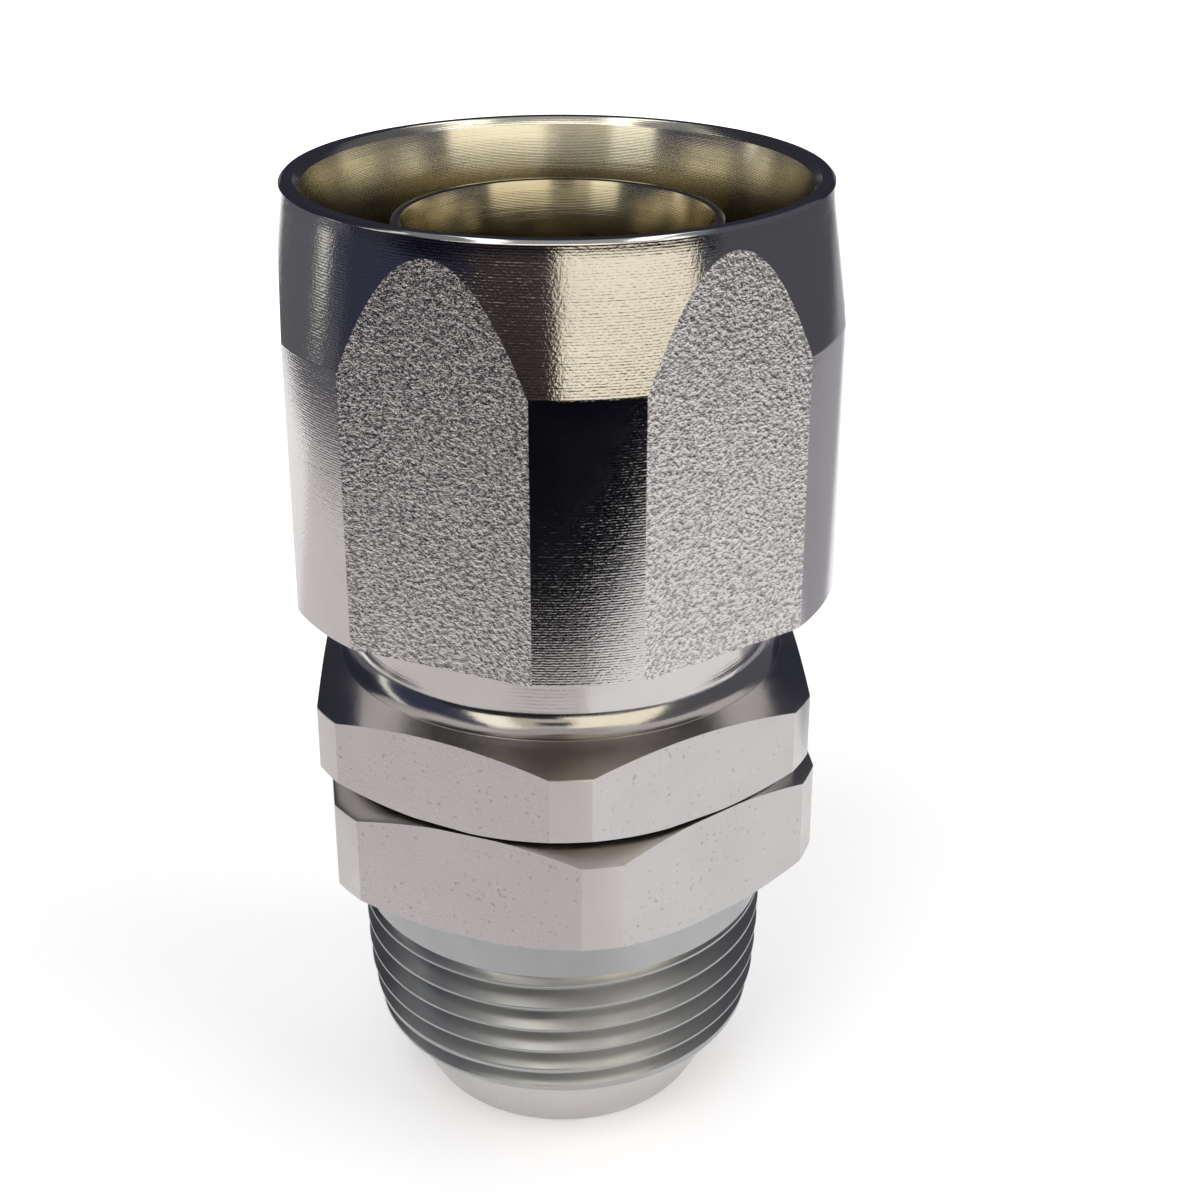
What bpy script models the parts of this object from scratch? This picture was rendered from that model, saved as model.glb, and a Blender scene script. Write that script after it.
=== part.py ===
"""Reusable hose terminal: a hexagon socket, a hose insert and a swivelling threaded end.

The fitting stands on its threaded end, with its axis along Z and the hose mouth upwards.
"""

from math import ceil, cos, floor, pi, radians, sin

import bmesh
import bpy

MM = 0.001

# Clearances

GAP = 0.3 * MM
RUNNING = 0.08 * MM
RING_PLAY = 0.15 * MM
BREAK = 0.25 * MM

# Roundness

SEGMENTS = 72
RING_SEGMENTS = 48

# Heights up the axis

HEIGHT = 77.5 * MM
SOCKET_BOTTOM_Z = 46.0 * MM
SOCKET_CONE_Z = 67.1 * MM
RIM_LAND_Z = 76.1 * MM
CAVITY_FLOOR_Z = 55.3 * MM
NIPPLE_TOP_Z = 74.05 * MM
CREASE_Z = 39.5 * MM
INSERT_HEX_TOP_Z = 38.15 * MM
INSERT_HEX_LOW_Z = 33.0 * MM
HEX_JOINT_Z = 31.7 * MM
END_HEX_TOP_Z = 30.7 * MM
END_HEX_LOW_Z = 23.6 * MM
END_HEX_FACE_Z = 22.5 * MM
THREAD_TOP_Z = 18.7 * MM
THREAD_MID_Z = 13.0 * MM
THREAD_LEAD_Z = 9.6 * MM
THREAD_END_Z = 6.4 * MM
NOSE_TOP_Z = 5.6 * MM
SPIGOT_END_Z = 14.0 * MM

# Socket across and inside

SOCKET_FLATS = 41.0 * MM
FLAT_DEPTH = 1.25 * MM
SOCKET_TURNED_R = SOCKET_FLATS / 2 + FLAT_DEPTH
SOCKET_RIM_R = SOCKET_TURNED_R - 1.33 * MM
RIM_LAND_R = SOCKET_TURNED_R - 1.28 * MM
SOCKET_WALL = 2.85 * MM
SOCKET_BORE_R = SOCKET_TURNED_R - SOCKET_WALL
RIDGE_HIGH = 0.9 * MM
RIDGE_CREST_R = SOCKET_BORE_R - RIDGE_HIGH
RIDGE_PITCH = 2.4 * MM
RIDGE_COUNT = 4
MOUTH_CHAMFER = 0.4 * MM
MOUTH_CONE_HIGH = 5.0 * MM
COLLAR_R = RIDGE_CREST_R - 2 * RIDGE_HIGH

# Insert

HEX_FLATS = 38.0 * MM
HEX_TURNED_R = 21.1 * MM
HEX_FACE_R = 19.15 * MM
NECK_R = 16.5 * MM
CREASE_R = 17.7 * MM
FILLET_HIGH = 1.7 * MM
FILLET_SWEEP = radians(62)
FILLET_STEPS = 5
NIPPLE_R = 12.5 * MM
NIPPLE_WALL = 0.85 * MM
NIPPLE_CONE_HIGH = 4.5 * MM
BORE_R = 10.5 * MM
SPIGOT_R = 12.9 * MM

# Threaded end

SHANK_R = 16.8 * MM
THREAD_TOP_R = 16.75 * MM
THREAD_MID_R = 16.64 * MM
THREAD_LEAD_R = 16.4 * MM
THREAD_END_R = 15.72 * MM
NOSE_TOP_R = 14.7 * MM
NOSE_END_R = 11.65 * MM

# Thread, right-hand, cut into the outline of the blank

THREAD_PITCH = 2.117 * MM
THREAD_DEPTH = 1.2 * MM
THREAD_FLAT = 0.12
CREST_FRONT_Z = 12.94 * MM
RUNOUT = 1.5 * MM
THREAD_CORE_R = 14.0 * MM
JOIN = 0.6 * MM

# Snap ring and seal ring

RING_Z = 26.9 * MM
RING_HIGH = 1.4 * MM
RING_IN_R = 12.1 * MM
RING_OUT_R = 14.0 * MM
RING_SLIT = 4.0 * MM
SEAL_Z = 19.0 * MM
SEAL_WIDE = 2.2 * MM
SEAL_THICK = 1.3 * MM

# Clocking of each hexagon about the axis, from the front corner towards +X

SOCKET_TURN = radians(5.05)
INSERT_TURN = radians(1.68)
END_TURN = radians(7.98)


def clear_scene():
    """Takes every object of the startup scene away."""
    for item in list(bpy.data.objects):
        bpy.data.objects.remove(item)


def collection_named(name, hidden=False):
    """Makes a collection in the scene, hidden from renders for what only cuts or joins."""
    made = bpy.data.collections.new(name)
    made.hide_render = hidden
    bpy.context.scene.collection.children.link(made)
    return made


def material(name, colour, metallic, roughness):
    """Makes a Principled material with plain values."""
    made = bpy.data.materials.new(name)
    made.use_nodes = True
    shader = made.node_tree.nodes["Principled BSDF"]
    shader.inputs["Base Color"].default_value = (*colour, 1.0)
    shader.inputs["Metallic"].default_value = metallic
    shader.inputs["Roughness"].default_value = roughness
    return made


def turned(name, profile, home, segments=SEGMENTS):
    """Turns a closed profile of (radius, height) points about Z into a ring-shaped solid.

    The profile runs down the outer side first, then back up the bore.
    """
    mesh = bpy.data.meshes.new(name)
    points = [(radius, 0.0, height) for radius, height in profile]
    edges = [(i, (i + 1) % len(points)) for i in range(len(points))]
    mesh.from_pydata(points, edges, [])
    item = bpy.data.objects.new(name, mesh)
    home.objects.link(item)
    lathe = item.modifiers.new("turn", "SCREW")
    lathe.axis = "Z"
    lathe.angle = 2 * pi
    lathe.steps = segments
    lathe.render_steps = segments
    lathe.use_merge_vertices = True
    lathe.merge_threshold = 0.00001
    return item


def hex_bar(name, flats, turn, low, high, home):
    """Makes a hexagon bar with one corner at the front, turned about Z."""
    bpy.ops.mesh.primitive_cylinder_add(
        vertices=6,
        radius=flats / 2 / cos(pi / 6),
        depth=high - low,
        location=(0.0, 0.0, (low + high) / 2),
        rotation=(0.0, 0.0, turn),
    )
    return moved_to(bpy.context.object, name, home)


def moved_to(item, name, home):
    """Names an object and leaves it in one collection only."""
    item.name = name
    item.data.name = name
    for other in list(item.users_collection):
        other.objects.unlink(item)
    home.objects.link(item)
    item.display_type = "WIRE" if home.hide_render else "TEXTURED"
    item.hide_render = home.hide_render
    return item


def combine(item, other, operation):
    """Adds an exact Boolean to the object."""
    step = item.modifiers.new(other.name, "BOOLEAN")
    step.operation = operation
    step.solver = "EXACT"
    step.object = other


def finish(item, look):
    """Turns the modifiers into a plain mesh, shades it smooth with sharp edges and paints it."""
    graph = bpy.context.evaluated_depsgraph_get()
    mesh = bpy.data.meshes.new_from_object(item.evaluated_get(graph))
    mesh.name = item.name
    item.modifiers.clear()
    item.data = mesh
    mesh.shade_smooth()
    mesh.set_sharp_from_angle(angle=radians(25))
    mesh.materials.clear()
    mesh.materials.append(look)


def socket_profile():
    """The socket: a cone to the rim, a coned mouth, grip ridges and the bore for the collar."""
    bore_r = COLLAR_R + GAP
    outer = [
        (SOCKET_RIM_R - BREAK, HEIGHT),
        (SOCKET_RIM_R, HEIGHT - BREAK),
        (RIM_LAND_R, RIM_LAND_Z),
        (SOCKET_TURNED_R, SOCKET_CONE_Z),
        (SOCKET_TURNED_R, SOCKET_BOTTOM_Z + BREAK),
        (SOCKET_TURNED_R - BREAK, SOCKET_BOTTOM_Z),
    ]
    inner = [
        (bore_r + 2 * BREAK, SOCKET_BOTTOM_Z),
        (bore_r, SOCKET_BOTTOM_Z + 2 * BREAK),
        (bore_r, CAVITY_FLOOR_Z),
    ]
    for ridge in range(RIDGE_COUNT):
        low = CAVITY_FLOOR_Z + ridge * RIDGE_PITCH
        inner.append((SOCKET_BORE_R, low))
        inner.append((SOCKET_BORE_R, low + 0.25 * RIDGE_PITCH))
        inner.append((RIDGE_CREST_R, low + 0.75 * RIDGE_PITCH))
        inner.append((RIDGE_CREST_R, low + RIDGE_PITCH))
    inner.append((RIDGE_CREST_R, HEIGHT - MOUTH_CONE_HIGH))
    inner.append((SOCKET_BORE_R, HEIGHT - MOUTH_CHAMFER))
    inner.append((SOCKET_BORE_R + MOUTH_CHAMFER, HEIGHT))
    return outer + inner


def groove(side_r, root_r, middle, width):
    """A square groove, listed downwards, in a wall of radius side_r."""
    return [
        (side_r, middle + width / 2),
        (root_r, middle + width / 2),
        (root_r, middle - width / 2),
        (side_r, middle - width / 2),
    ]


def neck_fillet():
    """The hollow arc from the neck out to the crease above the hexagon, listed downwards."""
    points = []
    for step in range(FILLET_STEPS + 1):
        angle = FILLET_SWEEP * step / FILLET_STEPS
        out = (1 - cos(angle)) / (1 - cos(FILLET_SWEEP))
        down = sin(angle) / sin(FILLET_SWEEP)
        points.append((NECK_R + (CREASE_R - NECK_R) * out, CREASE_Z + FILLET_HIGH * (1 - down)))
    return points


def insert_profile():
    """The insert: nipple, collar, neck with its fillet, hexagon and spigot with two grooves."""
    nipple_bore_r = NIPPLE_R - NIPPLE_WALL
    outer = [
        (NIPPLE_R - NIPPLE_WALL / 3, NIPPLE_TOP_Z),
        (NIPPLE_R, NIPPLE_TOP_Z - NIPPLE_WALL / 3),
        (NIPPLE_R, CAVITY_FLOOR_Z + BREAK),
        (NIPPLE_R + BREAK, CAVITY_FLOOR_Z),
        (COLLAR_R - BREAK, CAVITY_FLOOR_Z),
        (COLLAR_R, CAVITY_FLOOR_Z - BREAK),
        (COLLAR_R, SOCKET_BOTTOM_Z - GAP),
        (NECK_R, SOCKET_BOTTOM_Z - GAP),
        *neck_fillet(),
        (HEX_TURNED_R, INSERT_HEX_TOP_Z),
        (HEX_TURNED_R, INSERT_HEX_LOW_Z),
        (HEX_FACE_R, HEX_JOINT_Z + GAP / 2),
        (SPIGOT_R, HEX_JOINT_Z + GAP / 2),
        *groove(SPIGOT_R, RING_IN_R - RING_PLAY, RING_Z, RING_HIGH + 2 * RING_PLAY),
        *groove(SPIGOT_R, SPIGOT_R - SEAL_THICK - RUNNING, SEAL_Z, SEAL_WIDE + 2 * RING_PLAY),
        (SPIGOT_R, SPIGOT_END_Z + 2 * BREAK),
        (SPIGOT_R - 2 * BREAK, SPIGOT_END_Z),
    ]
    inner = [
        (BORE_R, SPIGOT_END_Z),
        (BORE_R, NIPPLE_TOP_Z - NIPPLE_CONE_HIGH),
        (nipple_bore_r, NIPPLE_TOP_Z - BREAK),
        (nipple_bore_r + BREAK, NIPPLE_TOP_Z),
    ]
    return outer + inner


def nose_radius(height):
    """The radius of the nose cone's line, which runs on inside the thread."""
    low_r, low = NOSE_END_R + BREAK / 2, 1.5 * BREAK
    return low_r + (height - low) * (NOSE_TOP_R - low_r) / (NOSE_TOP_Z - low)


def end_profile():
    """The threaded end without its thread: hexagon, shank, core, nose and the bore for the spigot."""
    bore_r = SPIGOT_R + RUNNING
    ring_r = RING_OUT_R + RING_PLAY
    ring_half = RING_HIGH / 2 + RING_PLAY
    outer = [
        (HEX_FACE_R, HEX_JOINT_Z - GAP / 2),
        (HEX_TURNED_R, END_HEX_TOP_Z),
        (HEX_TURNED_R, END_HEX_LOW_Z),
        (HEX_FACE_R, END_HEX_FACE_Z),
        (SHANK_R + 2 * BREAK, END_HEX_FACE_Z),
        (SHANK_R, END_HEX_FACE_Z - 2 * BREAK),
        (SHANK_R, THREAD_TOP_Z - JOIN),
        (THREAD_CORE_R, THREAD_TOP_Z - JOIN),
        (THREAD_CORE_R, NOSE_TOP_Z + JOIN),
        (nose_radius(NOSE_TOP_Z + JOIN), NOSE_TOP_Z + JOIN),
        (nose_radius(1.5 * BREAK), 1.5 * BREAK),
        (NOSE_END_R - BREAK / 2, 0.4 * BREAK),
        (NOSE_END_R - BREAK, 0.0),
    ]
    inner = [
        (BORE_R, 0.0),
        (BORE_R, SPIGOT_END_Z - GAP),
        (bore_r, SPIGOT_END_Z - GAP),
        (bore_r, RING_Z - ring_half),
        (ring_r, RING_Z - ring_half),
        (ring_r, RING_Z + ring_half),
        (bore_r, RING_Z + ring_half),
        (bore_r, HEX_JOINT_Z - GAP / 2 - 2 * BREAK),
        (bore_r + 2 * BREAK, HEX_JOINT_Z - GAP / 2),
    ]
    return outer + inner


def on_lines(points, height):
    """Reads the radius at a height off a chain of (height, radius) points, carried on past both ends."""
    for low, high in zip(points, points[1:]):
        if height <= high[0]:
            break
    return low[1] + (height - low[0]) * (high[1] - low[1]) / (high[0] - low[0])


def thread_radius(height, depth):
    """The thread's radius at a height: the crests' outline less a depth, drawn in along the lead."""
    crests = (
        (THREAD_LEAD_Z, THREAD_LEAD_R),
        (THREAD_MID_Z, THREAD_MID_R),
        (THREAD_TOP_Z, THREAD_TOP_R),
    )
    lead = (
        (NOSE_TOP_Z, NOSE_TOP_R),
        (THREAD_END_Z, THREAD_END_R),
        (THREAD_LEAD_Z, THREAD_LEAD_R),
    )
    fade = min(1.0, (THREAD_TOP_Z - height) / RUNOUT)
    return min(on_lines(crests, height) - depth * fade, on_lines(lead, height))


def thread_form(home):
    """Winds the thread as a closed ring round the core.

    Each turn has four rows: the crest's two edges and the root's. Rows past either end of the
    thread fall together on its end circle, so the ring closes there.
    """
    low, high = NOSE_TOP_Z - JOIN, THREAD_TOP_Z
    first = floor((low - CREST_FRONT_Z) / THREAD_PITCH) - 1
    last = ceil((high - CREST_FRONT_Z) / THREAD_PITCH)
    flat = THREAD_FLAT / 2
    turn_rows = ((flat, 0.0), (0.5 - flat, THREAD_DEPTH), (0.5 + flat, THREAD_DEPTH), (1 - flat, 0.0))
    rows = [(turn + share, depth) for turn in range(first, last + 1) for share, depth in turn_rows]

    shape = bmesh.new()
    columns = []
    for step in range(SEGMENTS + 1):
        angle = 2 * pi * step / SEGMENTS
        section = [(THREAD_CORE_R - JOIN, high), (THREAD_CORE_R - JOIN, low)]
        for place, depth in rows:
            free = CREST_FRONT_Z + (place + step / SEGMENTS) * THREAD_PITCH
            height = min(max(free, low), high)
            section.append((thread_radius(height, depth), height))
        column = [shape.verts.new((r * sin(angle), -r * cos(angle), z)) for r, z in section]
        columns.append(column)
    for here, there in zip(columns, columns[1:]):
        for i in range(len(here)):
            j = (i + 1) % len(here)
            shape.faces.new((here[i], there[i], there[j], here[j]))
    bmesh.ops.remove_doubles(shape, verts=shape.verts, dist=0.001 * MM)
    bmesh.ops.recalc_face_normals(shape, faces=shape.faces)

    mesh = bpy.data.meshes.new("thread_form")
    shape.to_mesh(mesh)
    shape.free()
    item = bpy.data.objects.new("thread_form", mesh)
    item.display_type = "WIRE"
    item.hide_render = True
    home.objects.link(item)
    return item


def ring_profile():
    """The square section of the snap ring."""
    low = RING_Z - RING_HIGH / 2
    high = RING_Z + RING_HIGH / 2
    return [(RING_OUT_R, high), (RING_OUT_R, low), (RING_IN_R, low), (RING_IN_R, high)]


def seal_profile():
    """The seal ring's section: a round cord flattened between groove root and bore."""
    middle_r = SPIGOT_R - SEAL_THICK / 2
    half_thick = SEAL_THICK / 2
    half_wide = SEAL_WIDE / 2
    angles = [radians(90 - 30 * i) for i in range(12)]
    return [(middle_r + half_thick * cos(a), SEAL_Z + half_wide * sin(a)) for a in angles]


def build():
    """Makes the five pieces of the fitting."""
    clear_scene()
    fitting = collection_named("terminal_fitting")
    cutters = collection_named("cutters_and_joiners", hidden=True)

    plated_bar = material("plated_bar", (0.72, 0.70, 0.70), 1.0, 0.34)
    plated_turned = material("plated_turned", (0.76, 0.74, 0.72), 1.0, 0.24)
    plated_end = material("plated_end", (0.74, 0.72, 0.71), 1.0, 0.28)
    spring_steel = material("spring_steel", (0.22, 0.22, 0.24), 1.0, 0.35)
    black_rubber = material("black_rubber", (0.02, 0.02, 0.02), 0.0, 0.6)

    socket = turned("socket", socket_profile(), fitting)
    socket_bar = hex_bar(
        "socket_bar",
        SOCKET_FLATS,
        SOCKET_TURN,
        SOCKET_BOTTOM_Z - 2 * MM,
        HEIGHT + 2 * MM,
        cutters,
    )
    combine(socket, socket_bar, "INTERSECT")
    finish(socket, plated_bar)

    insert = turned("insert", insert_profile(), fitting)
    insert_bar = hex_bar(
        "insert_bar",
        HEX_FLATS,
        INSERT_TURN,
        SPIGOT_END_Z - 2 * MM,
        NIPPLE_TOP_Z + 2 * MM,
        cutters,
    )
    combine(insert, insert_bar, "INTERSECT")
    finish(insert, plated_turned)

    threaded_end = turned("threaded_end", end_profile(), fitting)
    end_bar = hex_bar("end_bar", HEX_FLATS, END_TURN, -2 * MM, HEX_JOINT_Z + 2 * MM, cutters)
    combine(threaded_end, end_bar, "INTERSECT")
    combine(threaded_end, thread_form(cutters), "UNION")
    finish(threaded_end, plated_end)

    snap_ring = turned("snap_ring", ring_profile(), fitting, RING_SEGMENTS)
    bpy.ops.mesh.primitive_cube_add(size=1.0, location=(0.0, RING_OUT_R, RING_Z))
    slit = moved_to(bpy.context.object, "ring_slit", cutters)
    slit.scale = (RING_SLIT, 2 * (RING_OUT_R - RING_IN_R) + 4 * MM, 4 * RING_HIGH)
    bpy.context.view_layer.update()
    combine(snap_ring, slit, "DIFFERENCE")
    finish(snap_ring, spring_steel)

    o_ring = turned("o_ring", seal_profile(), fitting, RING_SEGMENTS)
    finish(o_ring, black_rubber)


build()
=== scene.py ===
"""Studio scene of a reusable hose terminal in bright plated steel.

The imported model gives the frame. Each visible piece is modelled again at full detail from the
same sizes, dressed in its own plating, and stands on a pale floor under soft studio light.
"""

import logging
from dataclasses import dataclass, field
from enum import Enum
from math import atan2, cos, hypot, pi, radians, sin
from typing import Any, Callable, Optional, Sequence

import bmesh
import bpy
from mathutils import Matrix, Vector


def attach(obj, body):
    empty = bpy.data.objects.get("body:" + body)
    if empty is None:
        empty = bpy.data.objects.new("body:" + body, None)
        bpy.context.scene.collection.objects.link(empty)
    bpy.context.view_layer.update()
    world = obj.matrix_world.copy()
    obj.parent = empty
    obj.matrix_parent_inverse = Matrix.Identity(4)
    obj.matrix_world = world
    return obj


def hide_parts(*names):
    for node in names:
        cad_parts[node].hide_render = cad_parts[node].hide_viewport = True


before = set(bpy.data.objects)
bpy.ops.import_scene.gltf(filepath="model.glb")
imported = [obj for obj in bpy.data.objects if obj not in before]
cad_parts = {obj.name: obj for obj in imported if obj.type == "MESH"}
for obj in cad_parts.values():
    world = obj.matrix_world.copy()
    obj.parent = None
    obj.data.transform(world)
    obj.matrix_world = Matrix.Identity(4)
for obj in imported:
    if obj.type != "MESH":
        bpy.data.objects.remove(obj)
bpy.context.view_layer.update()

MM = 0.001
SEGMENTS = 256  # steps round the axis of a turned piece
WELD = 0.002 * MM  # points nearer than this are one point
FOLD = 24.0  # degrees above which an edge stays sharp
FLAT_LEAN, FLAT_MISS = 0.01, 0.02 * MM  # how far a hexagon's face may lean and stand off
BORE_FACING = -0.3  # a face that looks further inwards than this belongs to a bore
END_FACING = 0.6  # a face that looks further up or down than this is an end
PAST_END = 2 * MM  # how far a cutting bar stands out past a piece's ends
Profile = list[tuple[float, float]]
Colour = tuple[float, float, float]
log = logging.getLogger("terminal")


class Surface(Enum):
    """The kinds of machined surface that a piece can show."""

    TURNED = 0
    FLAT = 1
    BORE = 2
    END = 3


# Node helpers


@dataclass
class Graph:
    """A node tree under construction, with short ways to add and link nodes.

    Attributes:
        tree: The tree.
    """

    tree: bpy.types.NodeTree

    def add(self, kind: str, **settings: Any) -> bpy.types.Node:
        """Adds a node.

        Args:
            kind: The node's type name.
            settings: Properties to set on it.

        Returns:
            The new node.
        """
        node = self.tree.nodes.new(kind)
        for name, value in settings.items():
            setattr(node, name, value)
        return node

    def feed(self, socket: bpy.types.NodeSocket, value: Any) -> None:
        """Links a socket, or sets a plain value, on an input.

        Args:
            socket: The input to fill.
            value: Another socket, or the value itself.
        """
        if isinstance(value, bpy.types.NodeSocket):
            self.tree.links.new(value, socket)
        else:
            socket.default_value = value

    def math(self, kind: str, *values: Any, clamp: bool = False) -> bpy.types.NodeSocket:
        """Adds a Math node.

        Args:
            kind: The operation.
            values: One to three sockets or numbers.
            clamp: Whether the result stays between 0 and 1.

        Returns:
            The result's socket.
        """
        node = self.add("ShaderNodeMath", operation=kind, use_clamp=clamp)
        for socket, value in zip(node.inputs, values):
            self.feed(socket, value)
        return node.outputs[0]

    def remap(
        self, value: Any, low: float, high: float, start: float, end: float
    ) -> bpy.types.NodeSocket:
        """Maps low..high onto start..end, clamped.

        Args:
            value: The socket to map.
            low: The value that gives start.
            high: The value that gives end.
            start: The result at low.
            end: The result at high.

        Returns:
            The mapped socket.
        """
        node = self.add("ShaderNodeMapRange")
        names = ("From Min", "From Max", "To Min", "To Max")
        for name, number in zip(names, (low, high, start, end)):
            node.inputs[name].default_value = number
        self.feed(node.inputs["Value"], value)
        return node.outputs["Result"]

    def noise(
        self, vector: Any, scale: float, detail: float = 2.0, rough: float = 0.5
    ) -> bpy.types.NodeSocket:
        """Adds a Noise texture.

        Args:
            vector: The coordinates.
            scale: Features per metre.
            detail: How many octaves.
            rough: The weight of the finer ones.

        Returns:
            Its value from 0 to 1.
        """
        node = self.add("ShaderNodeTexNoise")
        self.feed(node.inputs["Vector"], vector)
        node.inputs["Scale"].default_value = scale
        node.inputs["Detail"].default_value = detail
        node.inputs["Roughness"].default_value = rough
        return node.outputs[0]

    def vector(self, x: Any, y: Any, z: Any) -> bpy.types.NodeSocket:
        """Joins three numbers into a vector.

        Args:
            x: The first socket or number.
            y: The second.
            z: The third.

        Returns:
            The vector's socket.
        """
        node = self.add("ShaderNodeCombineXYZ")
        for socket, value in zip(node.inputs, (x, y, z)):
            self.feed(socket, value)
        return node.outputs[0]

    def between(self, value: Any, low: Any, high: Any) -> bpy.types.NodeSocket:
        """Keeps a number between two others.

        Args:
            value: The number's socket.
            low: The least that it may be.
            high: The most that it may be.

        Returns:
            The kept number's socket.
        """
        return self.math("MINIMUM", self.math("MAXIMUM", value, low), high)

    def pick(self, test: Any, yes: Any, no: Any) -> bpy.types.NodeSocket:
        """Picks one of two numbers.

        Args:
            test: A socket that is 1 or 0.
            yes: The number at 1.
            no: The number at 0.

        Returns:
            The picked number's socket.
        """
        kept = self.math("MULTIPLY", no, self.math("SUBTRACT", 1.0, test))
        return self.math("ADD", kept, self.math("MULTIPLY", yes, test))

    def split(self, vector: Any) -> tuple[bpy.types.NodeSocket, ...]:
        """Splits a vector into its three numbers.

        Args:
            vector: The vector's socket.

        Returns:
            The sockets of X, Y and Z.
        """
        node = self.add("ShaderNodeSeparateXYZ")
        self.feed(node.inputs[0], vector)
        return tuple(node.outputs)

    def mix(self, share: Any, first: Any, second: Any) -> bpy.types.NodeSocket:
        """Mixes two colours.

        Args:
            share: How much of the second is in it, as a socket.
            first: The first colour, or a socket.
            second: The second colour, or a socket.

        Returns:
            The mixed colour's socket.
        """
        node = self.add("ShaderNodeMix", data_type="RGBA", blend_type="MIX")
        self.feed(node.inputs["Factor"], share)
        for name, colour in (("A", first), ("B", second)):
            self.feed(node.inputs[name], (*colour, 1.0) if isinstance(colour, tuple) else colour)
        return node.outputs["Result"]

    def bump(self, height: Any, depth: float, normal: Any = None) -> bpy.types.NodeSocket:
        """Adds a Bump node.

        Args:
            height: The relief's socket.
            depth: What a height of 1 stands for, in metres.
            normal: The normal that it starts from, or None for the mesh's own.

        Returns:
            The normal's socket.
        """
        node = self.add("ShaderNodeBump")
        node.inputs["Strength"].default_value = 1.0
        node.inputs["Distance"].default_value = depth
        self.feed(node.inputs["Height"], height)
        if normal is not None:
            self.feed(node.inputs["Normal"], normal)
        return node.outputs[0]


def new_material(name: str) -> tuple[bpy.types.Material, Graph, bpy.types.Node]:
    """Starts a node material.

    Args:
        name: The material's name.

    Returns:
        The material, its graph and its Principled node.
    """
    made = bpy.data.materials.new(name)
    made.use_nodes = True
    return made, Graph(made.node_tree), made.node_tree.nodes["Principled BSDF"]


# Finishes

# A scale counts features per metre. A span holds the noise values between which a look changes.
MEAN_RADIUS = 20.5 * MM  # turns an angle into a length round the axis
CLOUD_SCALE, CLOUD_DETAIL, CLOUD_ROUGH = 160.0, 3.0, 0.6  # slow unevenness of the plating
WEAR_SPAN, WEAR_FADE = (0.35, 0.7), 0.04  # where and how far the colour falls off
ROUGH_SPAN, ROUGH_RANGE = (0.3, 0.7), (0.8, 1.25)  # roughness round its middle value
GRAIN_SLANT, GRAIN_DRAWN, GRAIN_NARROW = 0.45, 0.6, 1.6  # grain drawn out by the rolls
GRAIN_COARSER, GRAIN_DETAIL, GRAIN_ROUGH = 0.62, 2.5, 0.62
# Painted shade in the grain's hollows: the grain values over which it fades out, and its
# near-black tone.
HOLLOW_SPAN = (0.40, 0.53)
HOLLOW_SHADE_TONE: Colour = (0.07, 0.06, 0.065)
PIT_SCALE, PATCH_SCALE, PATCH_SHARE = 2600.0, 150.0, 0.2  # pits, and where they crowd
PIT_EDGE, PIT_EDGE_SPAN, PIT_COVER = 0.80, 0.06, 0.6  # how full a spot must be to show
PIT_TONE: Colour = (0.25, 0.23, 0.24)
WOBBLE_SCALE, WOBBLE_SHARE = 260.0, 1.2  # how the turning lines wander
SCRATCH_ROUND, SCRATCH_UP = 20.0, 5200.0  # fine scratches, long round and short up
LINE_SHARE, SCRATCH_SHARE = 0.35, 1.6  # how much of the relief is line and how much scratch


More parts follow.
